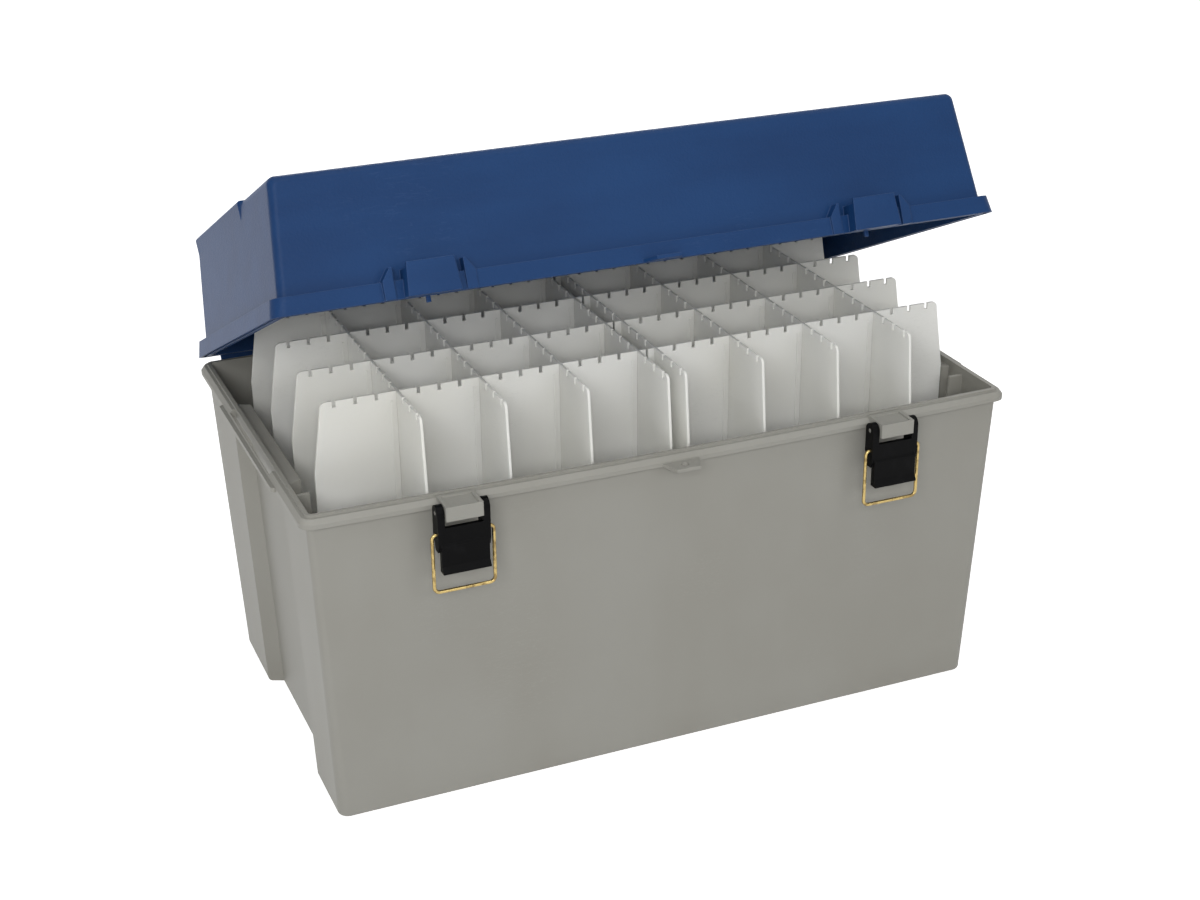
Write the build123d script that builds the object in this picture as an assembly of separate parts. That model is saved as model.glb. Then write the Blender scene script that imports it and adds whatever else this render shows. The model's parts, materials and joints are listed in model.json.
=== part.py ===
from build123d import *
import os
from math import ceil

# Tackle utility box: a deep moulded body, a hinged lid, two wire latches and two plate racks.
# Millimetres. Origin at the middle of the base, X along the length, front towards -Y, Z up.

# Body
rim_length = 537.0
rim_depth = 303.0
body_height = 242.0
rim_corner = 10.0
rim_height = 8.0
wall = 3.0
lip_over_wall = 5.0
front_bow = 4.0
base_length = 508.5
base_front = 141.0
base_rear = 135.0
base_corner = 8.0
base_edge_round = 3.0
bead_groove_width = 2.4
bead_groove_depth = 1.4

# Grips in the ends of the body
recess_depth = 11.0
recess_width = 145.0
recess_slant = 5.0
recess_middle = -8.5
grip_lip = 3.0
grip_length = 155.0
grip_corner = 2.5
grip_slot_length = 116.0
grip_slot_width = 4.0

# Ribs inside the ends
rib_reach = 11.0
rib_thickness = 2.5
rib_from_middle = 102.0
rib_below_rim = 5.0

# Padlock tabs
tab_reach = 13.5
tab_root = 31.0
tab_tip = 18.0
tab_thickness = 2.5
tab_hole = 5.6
tab_hole_from_tip = 6.5

# Lid, drawn closed and then opened
lid_open = 25.0
lid_gap = 0.4
lid_height = 91.0
lid_flange_height = 12.4
lid_flange_over_wall = 6.1
lid_flange_end_draft = 2.2
lid_flange_front_draft = 0.6
lid_skirt = 2.4
lid_core_depth = 9.4
lid_end_draft = 8.3
lid_front_draft = 1.9
lid_corner = 6.0
lid_top_round = 6.0
lug_front = -44.6
lug_depth = 14.0
lug_proud = 2.0

# Hinge along the back
hinge_behind_rim = 1.8
hinge_below_rim = 6.4
knuckle_radius = 5.0
lid_knuckle_length = 16.0
body_knuckle_length = 12.0
knuckle_gap = 0.3
pin_radius = 1.6
pin_clearance = 0.06
hinge_spacing = 165.0
rear_skirt_gap = 0.3
rear_skirt_thickness = 2.0
rear_skirt_drop = 3.4
rear_skirt_half = 250.0

# Latches
latch_spacing = 163.3
bracket_width = 26.0
bracket_reach = 17.5
bracket_height = 10.5
bracket_wall = 2.6
bracket_tray = 1.0
lever_pin_radius = 1.5
lever_pin_from_front = 8.0
lever_pin_down = 6.0
ear_thickness = 5.0
ear_gap = 0.4
ear_radius = 5.4
ear_length = 28.0
lever_clear = 9.9
lever_plate = 3.2
lever_plate_proud = 1.2
lever_plate_slope = 1.6
lever_plate_width = 33.6
lever_step = 23.0
lever_length = 42.4
lever_lip = 2.4
lever_lip_height = 5.0
lever_lip_edge = 1.4
bail_wire = 2.5
bail_gap = 1.9
bail_bend = 4.0
bail_shoulder = 3.0
bail_pivot_down = 15.4
bail_pivot_forward = 1.6
bail_length = 42.7
bail_tail = 4.0

# Catches on the lid
catch_width = 41.0
catch_taper = 1.6
catch_crease = 0.8
catch_lip = 2.0
catch_lip_height = 1.0
catch_gap = 0.3
guard_gap = 2.0
guard_width = 6.5
guard_slope = 3.5
guard_height = 16.0
guard_proud = 2.0
locating_tab_width = 3.0
locating_tab_drop = 4.0

# Racks
plate = 1.8
pitch = 59.4
rack_gap = 13.4
rack_shift = 5.0
fin_count = 4
panel_count = 4
first_panel = -86.0
rack_floor_gap = 0.3
rack_height = 290.0
rack_rim_half = 246.0
rack_top_half = 238.4
rack_wall_clear = 2.5
fin_top_corner = 14.0
panel_top_corner = 4.0
rack_top_taper = 5.5
rack_front_clear = 2.4
slot_clearance = 0.1
notch_width = 2.6
notch_depth = 4.6
notches_per_cell = 4
guide_from_plate = 4.6
guide_width = 1.2
guide_proud = 0.8

# Carrying handle in the lid
pocket_length = 176.0
pocket_width = 62.0
pocket_depth = 17.0
pocket_corner = 9.0
handle_length = 146.0
handle_reach = 42.0
handle_thickness = 11.0
grip_width = 15.0
grip_round = 3.5
handle_corner = 8.0
arm_width = 11.0
handle_floor_gap = 1.0
handle_pin_radius = 2.5
pivot_lug_thickness = 6.0
pivot_gap = 0.4

# Sizes worked out from the ones above
rim_under = body_height - rim_height
wall_half = rim_length / 2 - lip_over_wall
wall_front = rim_depth / 2 - lip_over_wall
lip_front = rim_depth / 2
hinge_y = rim_depth / 2 + hinge_behind_rim
hinge_z = body_height - hinge_below_rim
lid_base = body_height + lid_gap
lid_top = body_height + lid_height
lid_wall_half = rim_length / 2 - lid_flange_over_wall
lid_wall_front = rim_depth / 2 - lid_flange_over_wall


def bow_at(x):
    """How far the front bows forward at a distance x from the middle."""
    return front_bow * (1 - (x / (rim_length / 2)) ** 2)


def plan(half_length, front, rear, corner, bow, z):
    """Horizontal outline: straight ends and back, and a front bowed forward."""
    with BuildSketch(Plane.XY.offset(z)) as sketch:
        with BuildLine():
            Polyline((half_length, -front), (half_length, rear), (-half_length, rear), (-half_length, -front))
            if bow > 0:
                ThreePointArc((-half_length, -front), (0, -front - bow), (half_length, -front))
            else:
                Line((-half_length, -front), (half_length, -front))
        make_face()
        fillet(sketch.vertices(), corner)
    return sketch.sketch


def body_plan(z, inset):
    """Outline of the body wall at a height, moved inwards by inset."""
    share = z / body_height
    half_length = base_length / 2 + (wall_half - base_length / 2) * share
    front = base_front + (wall_front - base_front) * share
    rear = base_rear + (wall_front - base_rear) * share
    corner = base_corner + (rim_corner - lip_over_wall - base_corner) * share
    return plan(half_length - inset, front - inset, rear - inset, max(corner - inset, 2.0), front_bow * share, z)


def body_half_length(z):
    """Half length of the body wall's outside at a height."""
    return base_length / 2 + (wall_half - base_length / 2) * z / body_height


def recess(side, grow, low, high):
    """Upright hollow in an end wall; grow is the wall thickness where it is kept solid inside."""
    beyond = 30.0
    slope = recess_slant / recess_depth
    sections = []
    for z in (low, high):
        outside = body_half_length(z)
        inner_x = outside - recess_depth - grow
        inner_y = recess_width / 2 - recess_slant + grow
        outer_y = inner_y + slope * (recess_depth + grow + beyond)
        with BuildSketch(Plane.XY.offset(z)) as sketch:
            with BuildLine():
                Polyline(
                    (side * inner_x, recess_middle - inner_y),
                    (side * (outside + beyond), recess_middle - outer_y),
                    (side * (outside + beyond), recess_middle + outer_y),
                    (side * inner_x, recess_middle + inner_y),
                    close=True,
                )
            make_face()
        sections.append(sketch.sketch)
    return loft(sections, ruled=True)


def box_between(x, y, z):
    """Block given by its lowest and highest value on each axis."""
    size = Box(x[1] - x[0], y[1] - y[0], z[1] - z[0])
    return Pos((x[0] + x[1]) / 2, (y[0] + y[1]) / 2, (z[0] + z[1]) / 2) * size


def rod_x(radius, x, y, z):
    """Round bar along X between two x values."""
    return Pos((x[0] + x[1]) / 2, y, z) * Rot(0, 90, 0) * Cylinder(radius, x[1] - x[0])


def slab_x(points, x):
    """Plate with an outline in Y and Z, between two x values."""
    with BuildSketch(Plane.YZ.offset(x[0])) as sketch:
        with BuildLine():
            Polyline(*points, close=True)
        make_face()
    return extrude(sketch.sketch, x[1] - x[0])


def slab_z(points, z):
    """Plate with an outline in X and Y, between two heights."""
    with BuildSketch(Plane.XY.offset(z[0])) as sketch:
        with BuildLine():
            Polyline(*points, close=True)
        make_face()
    return extrude(sketch.sketch, z[1] - z[0])


def slab_y(points, y):
    """Plate with an outline in X and Z, between two y values."""
    with BuildSketch(Plane.XZ.offset(-y[1])) as sketch:
        with BuildLine():
            Polyline(*points, close=True)
        make_face()
    return extrude(sketch.sketch, y[1] - y[0])


def opened(shape):
    """Turn a piece of the lid from closed to the open rest position."""
    return Pos(0, hinge_y, hinge_z) * Rot(-lid_open, 0, 0) * Pos(0, -hinge_y, -hinge_z) * shape


def padlock_tab(low):
    """Tab with a padlock hole at the middle of the front, its underside at the height low."""
    root = lip_front
    tip = lip_front + front_bow + tab_reach
    points = [(-tab_root / 2, -root), (-tab_tip / 2, -tip), (tab_tip / 2, -tip), (tab_root / 2, -root)]
    tab = slab_z(points, (low, low + tab_thickness))
    hole = Pos(0, -tip + tab_hole_from_tip, low + tab_thickness / 2) * Cylinder(tab_hole / 2, 2 * tab_thickness)
    return tab, hole


# Body shell
bracket_front = lip_front + bow_at(latch_spacing) + bracket_reach
lever_pin_y = -(bracket_front - lever_pin_from_front)
lever_pin_z = body_height - lever_pin_down
rib_top = body_height - rib_below_rim


def latch_bracket(x):
    """Tray that carries a latch lever, open underneath, with its pin hole."""
    low = body_height - bracket_height
    half = bracket_width / 2
    block = box_between((x - half, x + half), (-bracket_front, -wall_front), (low, body_height))
    inner = half - bracket_wall
    core = box_between(
        (x - inner, x + inner),
        (-bracket_front + bracket_wall, -lip_front - bow_at(x)),
        (low - 1, body_height - bracket_tray - bracket_wall),
    )
    tray = box_between(
        (x - inner, x + inner),
        (-bracket_front + bracket_wall / 2, -lip_front - bow_at(x)),
        (body_height - bracket_tray, body_height + 1),
    )
    hole = rod_x(lever_pin_radius + pin_clearance, (x - half - 1, x + half + 1), lever_pin_y, lever_pin_z)
    return block - core - tray, hole


def body_knuckles(x):
    """Pair of barrels behind the rim, each side of the lid's barrel, and the room for that barrel."""
    inner = lid_knuckle_length / 2 + knuckle_gap
    arm = [
        (rim_depth / 2 - lip_over_wall, hinge_z - knuckle_radius),
        (hinge_y, hinge_z - knuckle_radius),
        (hinge_y, hinge_z + knuckle_radius),
        (rim_depth / 2 - lip_over_wall, hinge_z + knuckle_radius),
    ]
    barrels = []
    for side in (-1, 1):
        ends = sorted((x + side * inner, x + side * (inner + body_knuckle_length)))
        barrels.append(rod_x(knuckle_radius, ends, hinge_y, hinge_z) + slab_x(arm, ends))
    room = box_between(
        (x - inner, x + inner),
        (hinge_y - knuckle_radius - 0.8, hinge_y + 2 * knuckle_radius),
        (hinge_z - 2 * knuckle_radius, body_height + 1),
    )
    reach = inner + body_knuckle_length + 1
    hole = rod_x(pin_radius + pin_clearance, (x - reach, x + reach), hinge_y, hinge_z)
    return barrels, room, hole


def inner_ribs():
    """Upright ribs on the inside of the end walls, near the front corners."""
    ribs = []
    for side in (-1, 1):
        points = [
            (side * (body_half_length(wall) - wall / 2), wall / 2),
            (side * (body_half_length(wall) - wall - rib_reach), wall / 2),
            (side * (body_half_length(rib_top) - wall - rib_reach), rib_top),
            (side * (body_half_length(rib_top) - wall / 2), rib_top),
        ]
        ribs.append(slab_y(points, (-rib_from_middle - rib_thickness / 2, -rib_from_middle + rib_thickness / 2)))
    return ribs


def make_body_shell():
    """Deep moulded body with its rim, end grips, latch brackets, padlock tab and hinge barrels."""
    outside = loft([body_plan(0, 0), body_plan(body_height, 0)], ruled=True)
    outside = fillet(outside.faces().sort_by(Axis.Z)[0].edges(), base_edge_round)
    cavity = loft([body_plan(wall, wall), body_plan(body_height + wall, wall)], ruled=True)
    for side in (-1, 1):
        outside -= recess(side, 0, -1, rim_under)
        cavity -= recess(side, wall, -1, rim_under + wall)
    flange = extrude(plan(rim_length / 2, lip_front, lip_front, rim_corner, front_bow, rim_under), rim_height)
    shell = outside + flange
    holes = []
    for side in (-1, 1):
        ends = sorted((side * wall_half, side * (rim_length / 2 + grip_lip)))
        lip = box_between(ends, (recess_middle - grip_length / 2, recess_middle + grip_length / 2),
                          (rim_under, body_height))
        corners = lip.edges().filter_by(Axis.Z).sort_by(Axis.X)
        shell += fillet(corners[:2] if side < 0 else corners[2:], grip_corner)
        slot_x = sorted((side * wall_half, side * (wall_half + grip_slot_width)))
        slot_y = (recess_middle - grip_slot_length / 2, recess_middle + grip_slot_length / 2)
        holes.append(box_between(slot_x, slot_y, (rim_under - 1, body_height + 1)))
        bracket, hole = latch_bracket(side * latch_spacing)
        shell += bracket
        holes.append(hole)
    tab, hole = padlock_tab(rim_under)
    shell += tab
    holes.append(hole)
    for x in (-hinge_spacing, 0, hinge_spacing):
        barrels, room, hole = body_knuckles(x)
        shell -= room
        for barrel in barrels:
            shell += barrel
        holes.append(hole)
    groove_outside = plan(wall_half + bead_groove_width, wall_front + bead_groove_width,
                          wall_front + bead_groove_width, rim_corner - lip_over_wall + bead_groove_width,
                          front_bow, body_height - bead_groove_depth)
    groove_inside = plan(wall_half, wall_front, wall_front, rim_corner - lip_over_wall, front_bow,
                         body_height - bead_groove_depth)
    shell -= extrude(groove_outside - groove_inside, 2 * bead_groove_depth)
    shell -= cavity
    for hole in holes:
        shell -= hole
    for rib in inner_ribs():
        shell += rib
    return shell


def make_hinge_pin(x):
    """Steel pin through the three barrels of one hinge."""
    reach = lid_knuckle_length / 2 + knuckle_gap + body_knuckle_length
    return rod_x(pin_radius, (x - reach, x + reach), hinge_y, hinge_z)


# Latch lever and bail
ear_inner = bracket_width / 2 + ear_gap
ear_outer = ear_inner + ear_thickness
bail_half = ear_outer + bail_gap + bail_wire / 2
bail_y = lever_pin_y - bail_pivot_forward
bail_z = lever_pin_z - bail_pivot_down


def make_lever(x):
    """Lever with two ears on the pin, a crossbar below the bracket and a finger plate."""
    y = lever_pin_y
    z = lever_pin_z
    ear = [
        (y - ear_radius, z),
        (y - ear_radius, z - lever_step),
        (y - ear_radius + 2, z - ear_length),
        (y + 1.5, z - ear_length),
        (y + ear_radius, z - lever_step + 6),
        (y + ear_radius, z),
    ]
    lever = None
    for side in (-1, 1):
        ends = sorted((x + side * ear_inner, x + side * ear_outer))
        cheek = slab_x(ear, ends) + rod_x(ear_radius, ends, y, z)
        lever = cheek if lever is None else lever + cheek
    front = y - ear_radius
    crossbar = box_between((x - ear_inner, x + ear_inner), (front, front + lever_plate),
                           (z - lever_step, z - lever_clear))
    half = lever_plate_width / 2
    face = front - lever_plate_proud
    finger = [
        (front, z - lever_step + lever_plate_slope),
        (face, z - lever_step),
        (face, z - lever_length + lever_lip_height),
        (face - lever_lip, z - lever_length + lever_lip_edge),
        (face - lever_lip, z - lever_length),
        (front + lever_plate, z - lever_length),
        (front + lever_plate, z - lever_step + lever_plate_slope),
    ]
    lever += crossbar
    lever += slab_x(finger, (x - half, x + half))
    pin_hole = rod_x(lever_pin_radius + pin_clearance, (x - ear_outer - 1, x + ear_outer + 1), y, z)
    lever -= pin_hole
    depth = bail_tail + pin_clearance
    for side in (-1, 1):
        ends = sorted((x + side * (ear_outer - depth), x + side * (ear_outer + 1)))
        lever -= rod_x(bail_wire / 2 + pin_clearance, ends, bail_y, bail_z)
    return lever


def make_lever_pin(x):
    """Pin through the bracket and both ears, flush with the ears."""
    return rod_x(lever_pin_radius, (x - ear_outer, x + ear_outer), lever_pin_y, lever_pin_z)


def make_bail(x):
    """Bent wire loop, sprung into the ears and hanging below the lever."""
    inner = ear_outer - bail_tail
    bottom = bail_z - bail_length
    points = [
        (x - inner, bail_y, bail_z),
        (x - bail_half, bail_y, bail_z),
        (x - bail_half, bail_y, bottom),
        (x + bail_half, bail_y, bottom),
        (x + bail_half, bail_y, bail_z),
        (x + inner, bail_y, bail_z),
    ]
    path = FilletPolyline(*points, radius=[bail_shoulder, bail_bend, bail_bend, bail_shoulder])
    start = Plane(origin=points[0], z_dir=(-1, 0, 0))
    return sweep(start * Circle(bail_wire / 2), path=path)


# Lid
catch_top = bail_z + bail_length - bail_wire / 2 - catch_gap
catch_front = -bail_y + bail_wire / 2 + catch_lip + catch_gap


def lid_plan(z, inset):
    """Outline of the lid wall at a height, moved inwards by inset."""
    share = (z - lid_base) / (lid_top - lid_base)
    half_length = lid_wall_half - lid_end_draft * share
    front = lid_wall_front - lid_front_draft * share
    return plan(half_length - inset, front - inset, front - inset, max(lid_corner - inset, 2.0), front_bow, z)


def lid_catch(x):
    """Block that the bail hooks over, with a small lip in front of the wire."""
    seat = catch_front - catch_lip
    root = lid_wall_front - wall / 2
    top = catch_top + catch_lip_height
    sections = []
    for z, half in ((lid_base, catch_width / 2), (top, catch_width / 2 - catch_taper)):
        points = [(-half, -root), (-half, -catch_front), (0, -catch_front - catch_crease), (half, -catch_front), (half, -root)]
        with BuildSketch(Plane.XY.offset(z)) as sketch:
            with BuildLine():
                Polyline(*[(x + px, py) for px, py in points], close=True)
            make_face()
        sections.append(sketch.sketch)
    notch = box_between((x - catch_width, x + catch_width), (-seat, -root - wall), (catch_top, catch_top + 10))
    return loft(sections, ruled=True) - notch


def lid_guard(x, side):
    """Raised guard beside a catch; the bail's side wire runs between the two."""
    inner = catch_width / 2 + bail_wire + guard_gap
    outer = inner + guard_width
    front = lid_wall_front + lid_flange_over_wall + bow_at(x) + guard_proud
    root = lid_wall_front - wall / 2
    points = [
        (x + side * inner, lid_base),
        (x + side * (outer + guard_slope), lid_base),
        (x + side * outer, lid_base + guard_height),
        (x + side * inner, lid_base + guard_height),
    ]
    return slab_y(points, (-front, -root))


def stacking_lug(side):
    """Wedge at the top of a lid end, upright where the wall in front of it leans in."""
    top = lid_wall_half - lid_end_draft
    slope = lid_end_draft / (lid_top - lid_base)
    foot = top + slope * lug_depth
    points = [
        (side * (foot - wall / 2), lid_top - lug_depth),
        (side * foot, lid_top - lug_depth),
        (side * (top + lug_proud), lid_top - 1.5),
        (side * (top + lug_proud - 1.5), lid_top),
        (side * (top - lid_top_round - 1), lid_top),
    ]
    return slab_y(points, (lug_front, lid_wall_front - lid_front_draft - lid_corner))


def lid_knuckle(x):
    """Barrel of one hinge with the arm that joins it to the lid's flange."""
    ends = (x - lid_knuckle_length / 2, x + lid_knuckle_length / 2)
    inner_y = hinge_y - knuckle_radius
    root = lip_front - lid_flange_over_wall
    arm = [
        (inner_y, hinge_z),
        (inner_y, lid_base),
        (root, lid_base),
        (root, lid_base + lid_flange_height),
        (lip_front, lid_base + lid_flange_height),
        (hinge_y + knuckle_radius, hinge_z + knuckle_radius),
        (hinge_y + knuckle_radius, hinge_z),
    ]
    hole = rod_x(pin_radius + pin_clearance, (ends[0] - 1, ends[1] + 1), hinge_y, hinge_z)
    return rod_x(knuckle_radius, ends, hinge_y, hinge_z) + slab_x(arm, ends), hole


def rear_skirt():
    """Strips along the lid's back that hang behind the rim, clear of the body's barrels."""
    near = lip_front + rear_skirt_gap
    far = near + rear_skirt_thickness
    points = [
        (near, lid_base - rear_skirt_drop),
        (far, lid_base - rear_skirt_drop),
        (far, lid_base + lid_flange_height / 2),
        (lip_front - lid_skirt / 2, lid_base + lid_flange_height - 2),
        (lip_front - lid_skirt / 2, lid_base),
        (near, lid_base),
    ]
    clear = lid_knuckle_length / 2 + body_knuckle_length + 3 * knuckle_gap
    stops = [-rear_skirt_half]
    for x in (-hinge_spacing, 0, hinge_spacing):
        stops += [x - clear, x + clear]
    stops.append(rear_skirt_half)
    return [slab_x(points, stops[index:index + 2]) for index in range(0, len(stops), 2)]


pocket_floor = lid_top - pocket_depth
handle_y = handle_reach / 2
handle_z = pocket_floor + handle_floor_gap + handle_thickness / 2
arm_end = handle_length / 2
lug_inner = arm_end + pivot_gap


def pivot_lugs():
    """Two lugs on the pocket floor that carry the handle, and their pin holes."""
    lugs = []
    holes = []
    top = handle_z + handle_thickness / 2
    for side in (-1, 1):
        ends = sorted((side * lug_inner, side * (lug_inner + pivot_lug_thickness)))
        lug = box_between(ends, (handle_y - handle_thickness / 2, handle_y + handle_thickness / 2),
                          (pocket_floor - wall / 2, top))
        lugs.append(lug)
        holes.append(rod_x(handle_pin_radius + pin_clearance, (ends[0] - 1, ends[1] + 1), handle_y, handle_z))
    return lugs, holes


def make_lid_shell():
    """Lid with its flange, catches, hinge barrels and the pocket for the handle."""
    outside = loft([lid_plan(lid_base, 0), lid_plan(lid_top, 0)], ruled=True)
    outside = fillet(outside.faces().sort_by(Axis.Z)[-1].edges(), lid_top_round)
    for side in (-1, 1):
        outside += stacking_lug(side)
    flange_top = plan(rim_length / 2 - lid_flange_end_draft, lip_front - lid_flange_front_draft,
                      lip_front - lid_flange_front_draft, rim_corner, front_bow, lid_base + lid_flange_height)
    flange_base = plan(rim_length / 2, lip_front, lip_front, rim_corner, front_bow, lid_base)
    shell = outside + loft([flange_base, flange_top], ruled=True)
    for strip in rear_skirt():
        shell += strip
    for side in (-1, 1):
        x = side * latch_spacing
        shell += lid_catch(x)
        shell += lid_guard(x, -1)
        shell += lid_guard(x, 1)
    tab, tab_hole_solid = padlock_tab(lid_base)
    shell += tab
    holes = [tab_hole_solid]
    for x in (-hinge_spacing, 0, hinge_spacing):
        barrel, hole = lid_knuckle(x)
        shell += barrel
        holes.append(hole)
    pocket = extrude(Pos(0, 0, pocket_floor) * RectangleRounded(pocket_length, pocket_width, pocket_corner),
                     pocket_depth + 1)
    tub = extrude(Pos(0, 0, pocket_floor - wall)
                  * RectangleRounded(pocket_length + 2 * wall, pocket_width + 2 * wall, pocket_corner + wall),
                  pocket_depth + wall)
    cavity = loft([lid_plan(lid_base - 1, wall), lid_plan(lid_top - wall, wall)], ruled=True)
    cavity -= tub
    core_out = plan(rim_length / 2 - lid_skirt, lip_front - lid_skirt, lip_front - lid_skirt,
                    rim_corner - lid_skirt, front_bow, lid_base - 1)
    core_in = plan(lid_wall_half + 0.4, lid_wall_front + 0.4, lid_wall_front + 0.4, lid_corner + 0.4,
                   front_bow, lid_base - 1)
    shell -= extrude(core_out - core_in, lid_core_depth + 1)
    shell -= cavity
    shell -= pocket
    lugs, lug_holes = pivot_lugs()
    for lug in lugs:
        shell += lug
    for side in (-1, 1):
        x = side * latch_spacing
        half = locating_tab_width / 2
        inner = lid_wall_front + bow_at(x) - wall
        shell += box_between((x - half, x + half), (-inner, -inner + 2), (lid_base - locating_tab_drop, lid_base + 8))
    for hole in holes + lug_holes:
        shell -= hole
    return shell


def make_handle():
    """Folding handle lying in its pocket: two arms rounded about their pins, and a grip bar."""
    low = handle_z - handle_thickness / 2
    high = handle_z + handle_thickness / 2
    grip_front = handle_y - handle_reach
    grip_back = grip_front + grip_width
    bar = box_between((-arm_end, arm_end), (grip_front, grip_back), (low, high))
    bar = fillet(bar.edges().filter_by(Axis.Z).group_by(Axis.Y)[0], handle_corner)
    handle = fillet(bar.edges().filter_by(Axis.X), grip_round)
    for side in (-1, 1):
        ends = sorted((side * (arm_end - arm_width), side * arm_end))
        handle += box_between(ends, (grip_back - grip_round, handle_y), (low, high))
        handle += rod_x(handle_thickness / 2, ends, handle_y, handle_z)
    for side in (-1, 1):
        ends = sorted((side * (arm_end - arm_width - 1), side * (arm_end + 1)))
        handle -= rod_x(handle_pin_radius + pin_clearance, ends, handle_y, handle_z)
    return handle


def make_handle_pins():
    """Two pins that hold the handle's arms in their lugs."""
    pins = []
    for side in (-1, 1):
        ends = sorted((side * (arm_end - arm_width), side * (lug_inner + pivot_lug_thickness)))
        pins.append(rod_x(handle_pin_radius, ends, handle_y, handle_z))
    return Compound(pins)


# Racks
rack_low = wall + rack_floor_gap
rack_top = rack_low + rack_height
slot_mid = rack_low + rack_height / 2
slot_half = plate / 2 + slot_clearance
inner_fin = rack_gap / 2
fin_places = [inner_fin + pitch * index for index in range(fin_count)]
panel_places = [first_panel + pitch * index for index in range(panel_count)]


def notch_places(low, high, junctions):
    """Places of the top notches: evenly between the junctions, and never on one."""
    step = pitch / notches_per_cell
    places = []
    count = ceil((high - low) / step) + notches_per_cell
    for index in range(-count, count):
        place = junctions[0] + index * step
        if index % notches_per_cell and low + 4 < place < high - 4:
            places.append(place)
    return places


def fin_outline():
    """Outline of a fin in Y and Z, tapering to the floor and above the rim."""
    front_rim = -(wall_front - wall + bow_at(fin_places[-1]) - rack_front_clear)
    rear_rim = wall_front - wall - rack_front_clear
    front_foot = -(base_front - wall - rack_front_clear)
    rear_foot = base_rear - wall - rack_front_clear
    return front_foot, front_rim, rear_foot, rear_rim


def make_fin(x):
    """Plate across the box, notched along the top and slotted from below for the panels."""
    front_foot, front_rim, rear_foot, rear_rim = fin_outline()
    points = [
        (front_foot, rack_low),
        (front_rim, body_height),
        (front_rim + rack_top_taper, rack_top),
        (rear_rim - rack_top_taper, rack_top),
        (rear_rim, body_height),
        (rear_foot, rack_low),
    ]
    with BuildSketch(Plane.YZ.offset(x - plate / 2)) as sketch:
        with BuildLine():
            Polyline(*points, close=True)
        make_face()
        fillet(sketch.vertices().group_by(Axis.Y)[-1], fin_top_corner)
    fin = extrude(sketch.sketch, plate)
    ends = (x - plate, x + plate)
    front_end = front_rim + rack_top_taper + fin_top_corner
    rear_end = rear_rim - rack_top_taper - fin_top_corner
    for y in notch_places(front_end, rear_end, panel_places):
        fin -= box_between(ends, (y - notch_width / 2, y + notch_width / 2), (rack_top - notch_depth, rack_top + 1))
    for y in panel_places:
        fin -= box_between(ends, (y - slot_half, y + slot_half), (rack_low - 1, slot_mid))
    return fin


def make_panel(side, y):
    """Plate along one rack, notched along the top and slotted from above for the fins."""
    hollow = recess_depth if abs(y - recess_middle) < recess_width / 2 + wall else 0
    ledge = rim_under + wall + 1
    middle = inner_fin - guide_from_plate - guide_width
    spare = side * rack_shift + rack_wall_clear + wall + hollow
    foot = min(body_half_length(0) - spare, rack_rim_half)
    shoulder = min(body_half_length(rim_under) - spare, rack_rim_half)
    points = [(middle, rack_low), (foot, rack_low), (shoulder, ledge)]
    if shoulder < rack_rim_half:
        points.append((rack_rim_half, ledge + 1))
    points += [(rack_rim_half, body_height), (rack_top_half, rack_top), (middle, rack_top)]
    points = [(rack_shift + side * px, pz) for px, pz in points]
    with BuildSketch(Plane.XZ.offset(-y - plate / 2)) as sketch:
        with BuildLine():
            Polyline(*points, close=True)
        make_face()
        top_corner = [v for v in sketch.vertices() if v.Y > rack_top - 1]
        outermost = max(top_corner, key=lambda v: abs(v.X - rack_shift))
        fillet(outermost, panel_top_corner)
    panel = extrude(sketch.sketch, plate)
    ends = (y - plate, y + plate)
    for place in notch_places(inner_fin, rack_top_half - panel_top_corner, fin_places):
        x = rack_shift + side * place
        panel -= box_between((x - notch_width / 2, x + notch_width / 2), ends, (rack_top - notch_depth, rack_top + 1))
    for place in fin_places:
        x = rack_shift + side * place
        for turn in (-1, 1):
            guide = x + turn * guide_from_plate
            panel += box_between((guide - guide_width / 2, guide + guide_width / 2),
                                 (y - plate / 2 - guide_proud, y + plate / 2 + guide_proud),
                                 (rack_low, rack_top - notch_depth - 2))
        panel -= box_between((x - slot_half, x + slot_half), ends, (slot_mid, rack_top + 1))
    return panel


nodes = {
    "body_shell": make_body_shell(),
    "hinge_pins": Compound([make_hinge_pin(x) for x in (-hinge_spacing, 0, hinge_spacing)]),
    "lid_shell": opened(make_lid_shell()),
    "carry_handle": opened(make_handle()),
    "handle_pins": opened(make_handle_pins()),
}
for side_name, side in (("left", -1), ("right", 1)):
    x = side * latch_spacing
    nodes[f"{side_name}_latch_lever"] = make_lever(x)
    nodes[f"{side_name}_latch_pin"] = make_lever_pin(x)
    nodes[f"{side_name}_latch_bail"] = make_bail(x)
    for number, place in enumerate(fin_places, 1):
        nodes[f"{side_name}_rack_fin_{number}"] = make_fin(rack_shift + side * place)
    for number, y in enumerate(panel_places, 1):
        nodes[f"{side_name}_rack_panel_{number}"] = make_panel(side, y)

os.makedirs("parts", exist_ok=True)
for name, shape in nodes.items():
    export_step(shape, f"parts/{name}.step")
print(len(nodes), "nodes written")
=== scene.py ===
# %% [markdown]
# # A tackle box with its lid half open
#
# The real object is a deep moulded box for long lures. A blue lid turns on three barrels at the back,
# two black latches with brass wire loops hang on the front rim, and two racks of milky plates stand
# inside. Every one of those pieces already exists as a measured solid, and most of them need only the
# finish of their real material. In three places the real box is finer than its solid: the racks' cross
# plates, the lip of the rim and the catches on the lid. Those pieces are drawn or trimmed again in the
# same place. Then the box is photographed from where the catalogue picture was taken.

import json
from math import ceil, cos, radians, sin

import bmesh
import bpy
from mathutils import Matrix, Vector


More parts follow.
